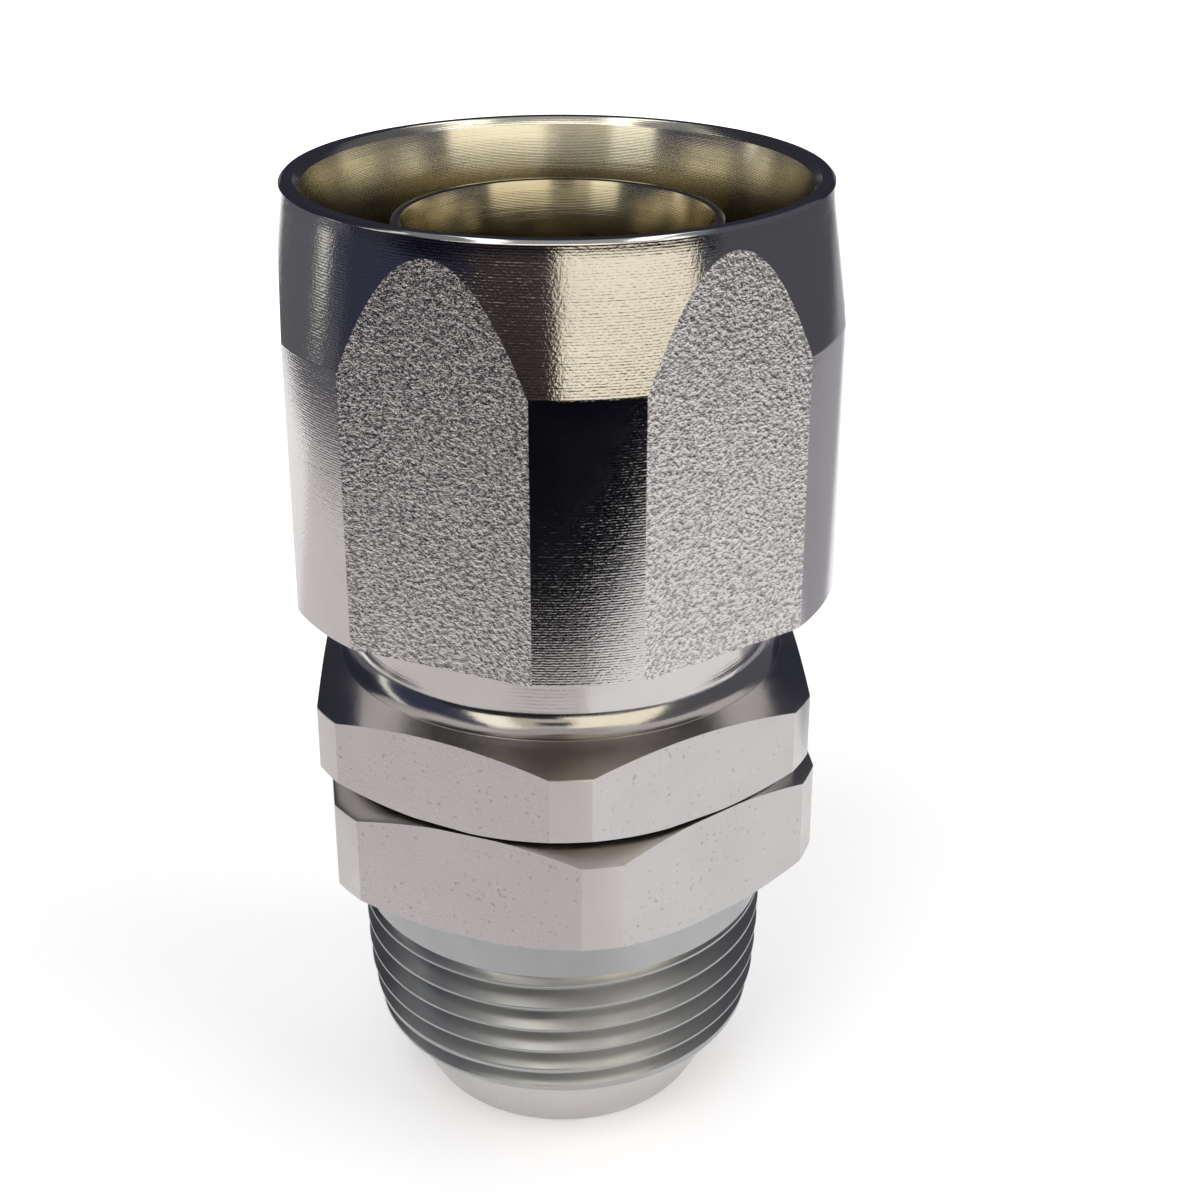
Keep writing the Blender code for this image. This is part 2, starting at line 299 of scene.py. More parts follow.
@dataclass(frozen=True)
class Plating:
    """Bright plating on steel, with the marks of how the surface was made.

    Attributes:
        name: The material's name.
        colour: Reflected colour.
        roughness: Middle roughness.
        line_pitch: Spacing of the turning lines in metres, or 0 for none.
        line_depth: Height of the turning lines in metres.
        grain_size: Size of the surface grain in metres, or 0 for none.
        grain_depth: Height of the grain in metres.
        grain_lean: How far the grain is drawn out along a slanting line, from 0 to 1.
        pit_amount: How dense the small dark pits are, from 0 to 1.
        hollow_shade: How much painted shade darkens the grain's hollows, from 0 to 1.
    """

    name: str
    colour: Colour
    roughness: float
    line_pitch: float = 0.0
    line_depth: float = 0.0
    grain_size: float = 0.0
    grain_depth: float = 0.0
    grain_lean: float = 0.0
    pit_amount: float = 0.0
    hollow_shade: float = 0.0

    def material(self) -> bpy.types.Material:
        """Builds the node material.

        Returns:
            The finished material.
        """
        made, graph, shader = new_material(self.name)
        shader.inputs["Metallic"].default_value = 1.0
        place = graph.add("ShaderNodeTexCoord").outputs["Object"]
        x, y, height = graph.split(place)
        turn = graph.math("ARCTAN2", x, graph.math("MULTIPLY", y, -1.0))
        round_way = graph.math("MULTIPLY", turn, MEAN_RADIUS)

        cloud = graph.noise(place, CLOUD_SCALE, CLOUD_DETAIL, CLOUD_ROUGH)
        grain = self._grain(graph, place, round_way, height)
        self._dress_colour(graph, shader, place, cloud, grain)
        self._dress_roughness(graph, shader, cloud)
        normal = self._relief(graph, place, round_way, height, grain)
        if normal is not None:
            graph.feed(shader.inputs["Normal"], normal)
        return made

    def _grain(
        self, graph: Graph, place: Any, round_way: Any, height: Any
    ) -> Optional[bpy.types.NodeSocket]:
        """Builds the height of the surface grain.

        Args:
            graph: The tree.
            place: Object coordinates.
            round_way: Distance round the axis.
            height: Height up the axis.

        Returns:
            The grain from about 0 to 1, or None on a surface without it.
        """
        if self.grain_size <= 0:
            return None
        scale, drawn_share = 1.0 / self.grain_size, GRAIN_DRAWN * self.grain_lean
        along = graph.math("MULTIPLY_ADD", height, GRAIN_SLANT, round_way)
        across = graph.math("MULTIPLY_ADD", round_way, -GRAIN_SLANT, height)
        narrow = graph.math("MULTIPLY", across, 1.0 + GRAIN_NARROW * self.grain_lean)
        drawn = graph.noise(graph.vector(along, narrow, 0.0), scale * GRAIN_COARSER, 2.0, 0.6)
        fine = graph.noise(place, scale, GRAIN_DETAIL, GRAIN_ROUGH)
        fine = graph.math("MULTIPLY", fine, 1.0 - drawn_share)
        return graph.math("MULTIPLY_ADD", drawn, drawn_share, fine)

    def _dress_colour(
        self, graph: Graph, shader: bpy.types.Node, place: Any, cloud: Any, grain: Any
    ) -> None:
        """Varies the reflected colour a little, paints shade into the grain's hollows and darkens
        the pits.

        Args:
            graph: The tree.
            shader: The Principled node.
            place: Object coordinates.
            cloud: A slow noise.
            grain: The grain's height, or None.
        """
        worn = tuple(channel * (1.0 - WEAR_FADE) for channel in self.colour)
        colour = graph.mix(graph.remap(cloud, *WEAR_SPAN, 0.0, 1.0), self.colour, worn)
        # Painted shade: the grain's hollows are darkened towards a near-black tone.
        if self.hollow_shade > 0:
            hollow = graph.remap(grain, *HOLLOW_SPAN, self.hollow_shade, 0.0)
            colour = graph.mix(hollow, colour, HOLLOW_SHADE_TONE)
        if self.pit_amount > 0:
            spots = graph.noise(place, PIT_SCALE, 2.0, 0.6)
            patches = graph.math("MULTIPLY", graph.noise(place, PATCH_SCALE), PATCH_SHARE)
            edge = PIT_EDGE - PIT_EDGE_SPAN * self.pit_amount
            crowded = graph.math("ADD", spots, patches)
            pits = graph.remap(crowded, edge, edge + PIT_EDGE_SPAN, 0.0, PIT_COVER)
            colour = graph.mix(pits, colour, PIT_TONE)
        graph.feed(shader.inputs["Base Color"], colour)

    def _dress_roughness(self, graph: Graph, shader: bpy.types.Node, cloud: Any) -> None:
        """Varies the roughness round its middle value.

        Args:
            graph: The tree.
            shader: The Principled node.
            cloud: A slow noise.
        """
        low, high = (self.roughness * share for share in ROUGH_RANGE)
        graph.feed(shader.inputs["Roughness"], graph.remap(cloud, *ROUGH_SPAN, low, high))

    def _relief(
        self, graph: Graph, place: Any, round_way: Any, height: Any, grain: Any
    ) -> Optional[bpy.types.NodeSocket]:
        """Builds the bump of turning lines and grain.

        Args:
            graph: The tree.
            place: Object coordinates.
            round_way: Distance round the axis.
            height: Height up the axis.
            grain: The grain's height, or None.

        Returns:
            The normal's socket, or None on a smooth surface.
        """
        normal = None if grain is None else graph.bump(grain, self.grain_depth)
        if self.line_pitch > 0:
            wobble = graph.math("MULTIPLY", graph.noise(place, WOBBLE_SCALE, 1.0), WOBBLE_SHARE)
            rows = graph.math("MULTIPLY_ADD", height, 2 * pi / self.line_pitch, wobble)
            wave = graph.math("MULTIPLY", graph.math("SINE", rows), LINE_SHARE)
            strip_x = graph.math("MULTIPLY", round_way, SCRATCH_ROUND)
            strip_z = graph.math("MULTIPLY", height, SCRATCH_UP)
            scratch = graph.noise(graph.vector(strip_x, 0.0, strip_z), 1.0, 3.0, 0.7)
            lines = graph.math("ADD", wave, graph.math("MULTIPLY", scratch, SCRATCH_SHARE))
            normal = graph.bump(lines, self.line_depth, normal)
        return normal


@dataclass(frozen=True)
class RubberFinish:
    """Matt black rubber with a faint bloom.

    Attributes:
        name: The material's name.
        dark: The clean rubber's colour.
        pale: The colour where it has bloomed.
        roughness: Lowest and highest roughness.
        bloom_scale: Patches of bloom per metre.
    """

    name: str = "seal_rubber"
    dark: Colour = (0.012, 0.012, 0.012)
    pale: Colour = (0.035, 0.034, 0.033)
    roughness: tuple[float, float] = (0.45, 0.7)
    bloom_scale: float = 600.0

    def material(self) -> bpy.types.Material:
        """Builds the node material.

        Returns:
            The finished material.
        """
        made, graph, shader = new_material(self.name)
        place = graph.add("ShaderNodeTexCoord").outputs["Object"]
        bloom = graph.noise(place, self.bloom_scale, 3.0)
        graph.feed(shader.inputs["Roughness"], graph.remap(bloom, *ROUGH_SPAN, *self.roughness))
        graph.feed(shader.inputs["Base Color"], graph.mix(bloom, self.dark, self.pale))
        return made


# Mesh helpers


def linked(name: str, data: Any) -> bpy.types.Object:
    """Makes an object from its data and puts it in the scene.

    Args:
        name: The object's name.
        data: A mesh, a lamp or a camera.

    Returns:
        The new object.
    """
    item = bpy.data.objects.new(name, data)
    bpy.context.scene.collection.objects.link(item)
    return item


def solid(name: str, shape: bmesh.types.BMesh) -> bpy.types.Object:
    """Turns a bmesh into an object in the scene.

    Args:
        name: The object's name.
        shape: Its mesh, freed here.

    Returns:
        The new object.
    """
    mesh = bpy.data.meshes.new(name)
    shape.to_mesh(mesh)
    shape.free()
    return linked(name, mesh)


def lathe_mesh(name: str, profile: Profile) -> bpy.types.Object:
    """Turns a closed profile about Z into a ring-shaped solid.

    Args:
        name: The object's name.
        profile: Points of radius and height, down the outer side and up the bore.

    Returns:
        The new object, in the scene.
    """
    shape = bmesh.new()
    rings = []
    for step in range(SEGMENTS):
        angle = 2 * pi * step / SEGMENTS
        rings.append([shape.verts.new((r * sin(angle), -r * cos(angle), z)) for r, z in profile])
    for step in range(SEGMENTS):
        here, there = rings[step], rings[(step + 1) % SEGMENTS]
        for i in range(len(profile)):
            j = (i + 1) % len(profile)
            shape.faces.new((here[i], here[j], there[j], there[i]))
    bmesh.ops.recalc_face_normals(shape, faces=shape.faces)
    return solid(name, shape)


def hexagon_bar(flats: float, turn: float, low: float, high: float) -> bpy.types.Object:
    """Makes a hexagon bar with one corner at the front, turned about Z.

    Args:
        flats: Size across flats.
        turn: Angle of the front corner towards +X.
        low: Lower end.
        high: Upper end.

    Returns:
        The bar, in the scene.
    """
    shape = bmesh.new()
    radius = flats / 2 / cos(pi / 6)
    bmesh.ops.create_cone(
        shape,
        cap_ends=True,
        segments=6,
        radius1=radius,
        radius2=radius,
        depth=high - low,
        matrix=Matrix.Translation((0, 0, (low + high) / 2)) @ Matrix.Rotation(turn, 4, "Z"),
    )
    return solid("hexagon_bar", shape)


def baked(item: bpy.types.Object) -> None:
    """Turns an object's modifiers into its plain mesh.

    Args:
        item: The object to change.
    """
    graph = bpy.context.evaluated_depsgraph_get()
    mesh = bpy.data.meshes.new_from_object(item.evaluated_get(graph))
    item.modifiers.clear()
    item.data = mesh
    mesh.name = item.name


def combined(item: bpy.types.Object, operation: str, other: bpy.types.Object) -> None:
    """Cuts or joins a piece with another solid, which is used up.

    Args:
        item: The piece.
        operation: INTERSECT or UNION.
        other: The other solid.
    """
    step = item.modifiers.new(operation.lower(), "BOOLEAN")
    step.operation = operation
    step.solver = "EXACT"
    step.object = other
    baked(item)
    bpy.data.objects.remove(other)


def sort_faces(item: bpy.types.Object, kind_of: Callable[[Vector, Vector], Surface]) -> None:
    """Gives each face its surface kind, and marks the edges that stay sharp.

    Args:
        item: The piece.
        kind_of: Tells the kind from a face's centre and normal.
    """
    shape = bmesh.new()
    shape.from_mesh(item.data)
    bmesh.ops.remove_doubles(shape, verts=shape.verts, dist=WELD)
    for face in shape.faces:
        face.material_index = kind_of(face.calc_center_median(), face.normal).value
        face.smooth = True
    for edge in shape.edges:
        faces = edge.link_faces
        if len(faces) != 2:
            continue
        differ = faces[0].material_index != faces[1].material_index
        edge.smooth = not (differ or edge.calc_face_angle(0.0) > radians(FOLD))
    shape.to_mesh(item.data)
    shape.free()


def in_bore(centre: Vector, normal: Vector) -> bool:
    """Whether a face looks inwards, towards the axis.

    Args:
        centre: The face's centre.
        normal: Its normal.

    Returns:
        True on the wall of a bore.
    """
    reach = hypot(centre.x, centre.y) or 1.0
    return (centre.x * normal.x + centre.y * normal.y) / reach < BORE_FACING


def on_hexagon(centre: Vector, normal: Vector, flats: float, turn: float) -> bool:
    """Whether a face lies on one of a hexagon's flats.

    Args:
        centre: The face's centre.
        normal: Its normal.
        flats: Size across flats.
        turn: Angle of the front corner towards +X.

    Returns:
        True on a flat.
    """
    away = centre.x * normal.x + centre.y * normal.y
    if abs(normal.z) > FLAT_LEAN or abs(away - flats / 2) > FLAT_MISS:
        return False
    sides = (atan2(normal.x, -normal.y) - turn - pi / 6) / (pi / 3)
    return abs(sides - round(sides)) < FLAT_LEAN / 2


# The fitting's pieces


@dataclass
class Fitting:
    """Sizes that the three pieces share.

    Attributes:
        height: From the nose's end to the mouth's rim.
        socket_bottom: The socket's lower face.
        cavity_floor: The floor on which the hose's end stands.
        hex_joint: Middle of the hairline between the lower hexagons.
        spigot_end: The spigot's lower end.
        bore_r: Radius of the bore right through.
        spigot_r: Radius of the spigot.
        ring_low: Lower side of the snap ring's groove.
        ring_top: Its upper side.
        running: Gap between spigot and threaded end, on the radius.
        gap: Gap between faces that don't touch.
    """

    height: float = 77.5 * MM
    socket_bottom: float = 46.0 * MM
    cavity_floor: float = 55.3 * MM
    hex_joint: float = 31.7 * MM
    spigot_end: float = 14.0 * MM
    bore_r: float = 10.5 * MM
    spigot_r: float = 12.9 * MM
    ring_low: float = 26.05 * MM
    ring_top: float = 27.75 * MM
    running: float = 0.08 * MM
    gap: float = 0.3 * MM


@dataclass
class Piece:
    """A metal piece that stands for one node of the frame.

    Attributes:
        node: The node that it replaces.
        body: The body that it rides on.
        slot: The record's material slot for its finish; not used.
        looks: A material for each kind of surface, in their order.
        shared: The sizes it shares with the other pieces.
    """

    node: str
    body: str
    slot: str
    looks: list[bpy.types.Material]
    shared: Fitting = field(default_factory=Fitting)

    def place(self, item: bpy.types.Object) -> bpy.types.Object:
        """Dresses the finished mesh and ties it to the frame.

        Args:
            item: The finished mesh object at the origin.

        Returns:
            The same object.
        """
        for look in self.looks:
            item.data.materials.append(look)
        even = item.modifiers.new("even_shading", "WEIGHTED_NORMAL")
        even.mode = "FACE_AREA"
        even.weight = 100
        even.keep_sharp = True
        baked(item)
        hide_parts(self.node)
        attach(item, self.body)
        log.info("%s: %d faces", item.name, len(item.data.polygons))
        return item


@dataclass
class Socket(Piece):
    """The outer socket, turned from rough hexagon bar.

    Attributes:
        flats: Size across flats.
        turn: Angle of the front corner towards +X.
        turned_r: Radius of the turned corner strips.
        cone_z: Where the cone towards the rim begins.
        land_z: Where the cone meets the narrow land below the rim.
        land_r: Radius there.
        rim_r: Outer radius of the rim.
        rim_edge: Width of the rim's broken outer edge.
        rim_ease: How much that edge is rounded at both its ends.
        mouth_r: Radius of the mouth at the rim.
        mouth_edge: Width of the mouth's broken edge.
        mouth_cone: Depth of the mouth's cone.
        ridge_r: Radius of the grip ridges and of the bore above them.
        ridge_pitch: Height of one ridge and groove.
        ridges: How many ridges there are.
        collar_r: Radius of the bore that takes the insert's collar.
        low_edge: Width of the broken edge at the lower end.
    """

    flats: float = 41.0 * MM
    turn: float = radians(5.05)
    turned_r: float = 21.75 * MM
    cone_z: float = 67.1 * MM
    land_z: float = 76.1 * MM
    land_r: float = 20.47 * MM
    rim_r: float = 20.42 * MM
    rim_edge: float = 0.27 * MM
    rim_ease: float = 0.015 * MM
    mouth_r: float = 18.9 * MM
    mouth_edge: float = 0.5 * MM
    mouth_cone: float = 5.0 * MM
    ridge_r: float = 18.0 * MM
    ridge_pitch: float = 2.4 * MM
    ridges: int = 4
    collar_r: float = 16.5 * MM
    low_edge: float = 0.14 * MM

    def profile(self) -> Profile:
        """Lists the turned section, down the outside and up the bore.

        Returns:
            Points of radius and height.
        """
        top, low, floor = self.shared.height, self.shared.socket_bottom, self.shared.cavity_floor
        rim, ease, low_edge = self.rim_edge, self.rim_ease, self.low_edge
        eased = rim - 2 * ease
        outer = [
            (self.rim_r - rim, top),
            (self.rim_r - eased, top - ease),
            (self.rim_r - ease, top - eased),
            (self.rim_r, top - rim),
            (self.land_r, self.land_z),
            (self.turned_r - 0.02 * MM, self.cone_z + 0.1 * MM),
            (self.turned_r, self.cone_z - 0.06 * MM),
            (self.turned_r, low + low_edge),
            (self.turned_r - 0.3 * low_edge, low + 0.3 * low_edge),
            (self.turned_r - low_edge, low),
        ]
        inner = [
            (self.collar_r + 0.5 * MM, low),
            (self.collar_r, low + 0.5 * MM),
            (self.collar_r, floor),
        ]
        for ridge in range(self.ridges):
            start = floor + ridge * self.ridge_pitch
            inner.append((self.mouth_r, start))
            inner.append((self.mouth_r, start + 0.25 * self.ridge_pitch))
            inner.append((self.ridge_r, start + 0.75 * self.ridge_pitch))
            inner.append((self.ridge_r, start + self.ridge_pitch))
        edge = self.mouth_edge
        inner += [
            (self.ridge_r, top - self.mouth_cone),
            (self.mouth_r, top - edge - 0.05 * MM),
            (self.mouth_r + 0.05 * MM, top - edge),
            (self.mouth_r + edge - 0.08 * MM, top - 0.05 * MM),
            (self.mouth_r + edge, top),
        ]
        return outer + inner

    def surface(self, centre: Vector, normal: Vector) -> Surface:
        """Tells which kind of surface a face of the socket is.

        Args:
            centre: The face's centre.
            normal: Its normal.

        Returns:
            The kind of surface.
        """
        if on_hexagon(centre, normal, self.flats, self.turn):
            return Surface.FLAT
        if in_bore(centre, normal):
            return Surface.BORE
        if abs(normal.z) > END_FACING:
            return Surface.END
        return Surface.TURNED

    def build(self) -> bpy.types.Object:
        """Makes the socket.

        Returns:
            The finished piece.
        """
        item = lathe_mesh("socket_dressed", self.profile())
        low, high = self.shared.socket_bottom - PAST_END, self.shared.height + PAST_END
        combined(item, "INTERSECT", hexagon_bar(self.flats, self.turn, low, high))
        sort_faces(item, self.surface)
        return self.place(item)


@dataclass
class Insert(Piece):
    """The insert, with nipple, collar, neck, hexagon and spigot.

    Attributes:
        flats: Size across flats.
        turn: Angle of the front corner towards +X.
        corner_r: Radius over the turned corners.
        hex_top: Upper end of the corners' strips.
        hex_low: Their lower end.
        face_r: Radius of the lower face.
        crease_z: Where the neck's fillet meets the hexagon's cone.
        crease_r: Radius there.
        neck_r: Radius of the neck.
        fillet_r: Radius of the fillet.
        fillet_turn: How far round the fillet goes, in degrees.
        fillet_steps: How many steps it has.
        collar_r: Radius of the collar in the socket.
        collar_edge: Width of the collar's and the nipple root's broken edges.
        nipple_r: Outer radius of the nipple.
        nipple_top: Height of the nipple's tip.
        wall: Wall at the tip.
        tip_edge: Width of the tip's rounded outer edge.
        tip_cone: Depth of the cone in the tip's bore.
        ring_floor_r: Radius of the snap ring groove's floor.
        ring_lead: Height of the slope above that groove.
        seal_low: Lower side of the seal ring's groove.
        seal_top: Its upper side.
        seal_floor_r: Radius of its floor.
        spigot_edge: Width of the spigot's broken edge.
    """

    flats: float = 38.0 * MM
    turn: float = radians(1.68)
    corner_r: float = 21.1 * MM
    hex_top: float = 38.15 * MM
    hex_low: float = 33.0 * MM
    face_r: float = 19.15 * MM
    crease_z: float = 39.5 * MM
    crease_r: float = 17.7 * MM
    neck_r: float = 16.5 * MM
    fillet_r: float = 1.9 * MM
    fillet_turn: float = 62.0
    fillet_steps: int = 12
    collar_r: float = 16.2 * MM
    collar_edge: float = 0.25 * MM
    nipple_r: float = 12.5 * MM
    nipple_top: float = 74.05 * MM
    wall: float = 0.85 * MM
    tip_edge: float = 0.34 * MM
    tip_cone: float = 4.5 * MM
    ring_floor_r: float = 12.0 * MM
    ring_lead: float = 0.15 * MM
    seal_low: float = 17.75 * MM
    seal_top: float = 20.25 * MM
    seal_floor_r: float = 11.52 * MM
    spigot_edge: float = 0.5 * MM

    def fillet(self) -> Profile:
        """Lists the concave arc from the neck out to the crease.

        Returns:
            Points of radius and height, downwards.
        """
        points = []
        width = self.crease_r - self.neck_r
        whole = radians(self.fillet_turn)
        for step in range(self.fillet_steps + 1):
            angle = whole * step / self.fillet_steps
            share = (1 - cos(angle)) / (1 - cos(whole))
            above = self.fillet_r * (sin(whole) - sin(angle))
            points.append((self.neck_r + width * share, self.crease_z + above))
        return points

    def profile(self) -> Profile:
        """Lists the turned section, down the outside and up the bore.

        Returns:
            Points of radius and height.
        """
        base = self.shared
        tip_r, edge = self.nipple_r - self.wall, self.collar_edge
        joint = base.hex_joint + base.gap / 2
        outer = [
            (self.nipple_r - self.tip_edge, self.nipple_top),
            (self.nipple_r - 0.1 * MM, self.nipple_top - 0.08 * MM),
            (self.nipple_r, self.nipple_top - self.tip_edge),
            (self.nipple_r, base.cavity_floor + edge),
            (self.nipple_r + edge, base.cavity_floor),
            (self.collar_r - edge, base.cavity_floor),
            (self.collar_r, base.cavity_floor - edge),
            (self.collar_r, base.socket_bottom - base.gap),
            (self.neck_r, base.socket_bottom - base.gap),
            *self.fillet(),
            (self.crease_r + 0.05 * MM, self.crease_z - 0.05 * MM),
            (self.corner_r - 0.05 * MM, self.hex_top + 0.02 * MM),
            (self.corner_r, self.hex_top - 0.05 * MM),
            (self.corner_r, self.hex_low),
            (self.face_r, joint),
            (base.spigot_r, joint),
            (base.spigot_r, base.ring_top + self.ring_lead),
            (self.ring_floor_r, base.ring_top),
            (self.ring_floor_r, base.ring_low),
            (base.spigot_r, base.ring_low),
            (base.spigot_r, self.seal_top),
            (self.seal_floor_r, self.seal_top),
            (self.seal_floor_r, self.seal_low),
            (base.spigot_r, self.seal_low),
            (base.spigot_r, base.spigot_end + self.spigot_edge),
            (base.spigot_r - self.spigot_edge, base.spigot_end),
        ]
        inner = [
            (base.bore_r, base.spigot_end),
            (base.bore_r, self.nipple_top - self.tip_cone),
            (tip_r, self.nipple_top - 0.3 * MM),
            (tip_r + 0.08 * MM, self.nipple_top - 0.08 * MM),
            (tip_r + 0.26 * MM, self.nipple_top),
        ]
        return outer + inner

    def surface(self, centre: Vector, normal: Vector) -> Surface:
        """Tells which kind of surface a face of the insert is.

        Args:
            centre: The face's centre.
            normal: Its normal.

        Returns:
            The kind of surface, where the nipple and the collar count as bore.
        """
        if on_hexagon(centre, normal, self.flats, self.turn):
            return Surface.FLAT
        if in_bore(centre, normal) or centre.z > self.shared.socket_bottom:
            return Surface.BORE
        if centre.z < self.crease_z:
            return Surface.END
        return Surface.TURNED

    def build(self) -> bpy.types.Object:
        """Makes the insert.

        Returns:
            The finished piece.
        """
        item = lathe_mesh("insert_dressed", self.profile())
        low, high = self.shared.spigot_end - PAST_END, self.nipple_top + PAST_END
        combined(item, "INTERSECT", hexagon_bar(self.flats, self.turn, low, high))
        sort_faces(item, self.surface)
        return self.place(item)


@dataclass
class Thread:
    """A right-hand external thread, laid out by Geometry Nodes along its own helix.

    Attributes:
        pitch: Height of one turn.
        depth: Depth of the form.
        low_z: Lower end of the ring of thread.
        high_z: Its upper end.
        join: How far the ring reaches into the body at both ends.
        runout_z: Where the thread begins to run out towards the shank.
        core_r: Radius of the ring's inner wall.
        crest_front_z: Height of a crest at the front.
        rows_per_turn: Rows of the mesh in one turn.
        root_end: Share of the form's wave that is flat root.
        crest_start: Share of the wave from which it is flat crest.
        crest_lines: Lines over the crests, as height and radius of two points each.
        tip_lines: Lines that cut the first turns off at the free end.
    """

    pitch: float = 2.117 * MM
    depth: float = 1.2 * MM
    low_z: float = 5.2 * MM
    high_z: float = 18.65 * MM
    join: float = 0.55 * MM
    runout_z: float = 17.2 * MM
    core_r: float = 13.9 * MM
    crest_front_z: float = 12.94 * MM
    rows_per_turn: int = 20
    root_end: float = 0.12
    crest_start: float = 0.92
    crest_lines: tuple[tuple[float, float, float, float], ...] = (
        (18.7 * MM, 16.75 * MM, 13.0 * MM, 16.64 * MM),
        (13.0 * MM, 16.64 * MM, 9.6 * MM, 16.4 * MM),
    )
    tip_lines: tuple[tuple[float, float, float, float], ...] = (
        (9.6 * MM, 16.4 * MM, 6.4 * MM, 15.72 * MM),
        (6.4 * MM, 15.72 * MM, 5.6 * MM, 14.7 * MM),
    )

    def sizes(self) -> dict[str, float]:
        """Lists the sizes that the node tree takes by name.

        Returns:
            Each input's name and value.
        """
        return {
            "Pitch": self.pitch,
            "Depth": self.depth,
            "Low": self.low_z,
            "High": self.high_z,
            "Core": self.core_r,
            "Crest": self.crest_front_z,
            "Runout": self.runout_z,
        }

    def tree(self, look: bpy.types.Material) -> bpy.types.NodeTree:
        """Builds the node tree: a grid wrapped round the axis, one row of it per step of the form.

        Args:
            look: The thread's material.

        Returns:
            The tree, with its sizes as named inputs.
        """
        tree = bpy.data.node_groups.new("thread_form", "GeometryNodeTree")
        for name in self.sizes():
            tree.interface.new_socket(name, in_out="INPUT", socket_type="NodeSocketFloat")
        tree.interface.new_socket("Geometry", in_out="OUTPUT", socket_type="NodeSocketGeometry")
        graph = Graph(tree)
        given = graph.add("NodeGroupInput").outputs

        # Two turns more than fit at each end are squeezed flat against it.
        turns_below = int((self.crest_front_z - self.low_z) / self.pitch) + 2
        turns_above = int((self.high_z - self.crest_front_z) / self.pitch) + 2
        rows = (turns_below + turns_above) * self.rows_per_turn
        last = rows + 3
        grid = graph.add("GeometryNodeMeshGrid")
        for name, value in (("Size X", 1.0), ("Size Y", 1.0)):
            grid.inputs[name].default_value = value
        for name, count in (("Vertices X", SEGMENTS + 1), ("Vertices Y", last + 1)):
            grid.inputs[name].default_value = count
        across, up = graph.split(graph.add("GeometryNodeInputPosition").outputs[0])[:2]
        angle = graph.math("MULTIPLY", graph.math("ADD", across, 0.5), 2 * pi)
        row = graph.math("ROUND", graph.math("MULTIPLY", graph.math("ADD", up, 0.5), float(last)))

        step = graph.between(graph.math("SUBTRACT", row, 1.0), 0.0, float(rows))
        turned = graph.math("DIVIDE", step, float(self.rows_per_turn))
        above = graph.math("SUBTRACT", turned, float(turns_below))
        height = self.height(graph, given, angle, above)
        radius = self.radius(graph, given, turned, height)

        # The first row and the last two lie on the inner wall, the last of them at its lower end.
        first = graph.math("LESS_THAN", row, 0.5)
        inside = graph.math("ADD", first, graph.math("GREATER_THAN", row, last - 1.5), clamp=True)
        back = graph.math("GREATER_THAN", row, last - 0.5)
        radius = graph.pick(inside, given["Core"], radius)
        height = graph.pick(back, given["Low"], height)
        x = graph.math("MULTIPLY", radius, graph.math("SINE", angle))
        front = graph.math("MULTIPLY", radius, graph.math("COSINE", angle))
        y = graph.math("MULTIPLY", front, -1.0)
        put = graph.add("GeometryNodeSetPosition")
        graph.feed(put.inputs["Geometry"], grid.outputs["Mesh"])
        graph.feed(put.inputs["Position"], graph.vector(x, y, height))
        weld = graph.add("GeometryNodeMergeByDistance")
        graph.feed(weld.inputs["Geometry"], put.outputs[0])
        graph.feed(weld.inputs["Distance"], WELD)
        real = graph.add("GeometryNodeRealizeInstances")
        graph.feed(real.inputs[0], weld.outputs[0])
        dress = graph.add("GeometryNodeSetMaterial")
        graph.feed(dress.inputs["Geometry"], real.outputs[0])
        graph.feed(dress.inputs["Material"], look)
        graph.feed(graph.add("NodeGroupOutput").inputs[0], dress.outputs[0])
        return tree

    def height(self, graph: Graph, given: Any, angle: Any, turned: Any) -> bpy.types.NodeSocket:
        """Finds a point's height on the helix, kept between the thread's ends.

        Args:
            graph: The tree.
            given: The tree's inputs.
            angle: The point's angle round the axis.
            turned: Turns of its row above the crest at the front.

        Returns:
            The height's socket.
        """
        climb = graph.math("ADD", turned, graph.math("DIVIDE", angle, 2 * pi))
        free = graph.math("MULTIPLY_ADD", climb, given["Pitch"], given["Crest"])
        return graph.between(free, given["Low"], given["High"])

    def radius(self, graph: Graph, given: Any, turned: Any, height: Any) -> bpy.types.NodeSocket:
        """Finds a point's radius: the crests' line less the form, which fades at the run-out.

        Args:
            graph: The tree.
            given: The tree's inputs.
            turned: Turns of the point's row, where a whole number is a crest.
            height: The point's height.

        Returns:
            The radius's socket.
        """
        wave = graph.math("MULTIPLY_ADD", graph.math("FRACT", turned), 2.0, -1.0)
        form = graph.remap(graph.math("ABSOLUTE", wave), self.root_end, self.crest_start, 0.0, 1.0)
        left = graph.math("SUBTRACT", given["High"], height)
        whole = graph.math("SUBTRACT", given["High"], given["Runout"])
        fade = graph.math("DIVIDE", left, whole, clamp=True)
        full = graph.math("MULTIPLY", graph.math("SUBTRACT", 1.0, form), given["Depth"])
        crests = self.lowest(graph, height, self.crest_lines)
        radius = graph.math("SUBTRACT", crests, graph.math("MULTIPLY", full, fade))
        return graph.math("MINIMUM", radius, self.lowest(graph, height, self.tip_lines))

    def lowest(
        self, graph: Graph, height: Any, lines: Sequence[tuple[float, float, float, float]]
    ) -> bpy.types.NodeSocket:
        """Finds the lowest of several straight lines of radius against height.

        Args:
            graph: The tree.
            height: The height's socket.
            lines: Each line as two points of height and radius.

        Returns:
            The radius's socket.
        """
        found = None
        for z0, r0, z1, r1 in lines:
            slope = (r1 - r0) / (z1 - z0)
            line = graph.math("MULTIPLY_ADD", height, slope, r0 - slope * z0)
            found = line if found is None else graph.math("MINIMUM", found, line)
        return found

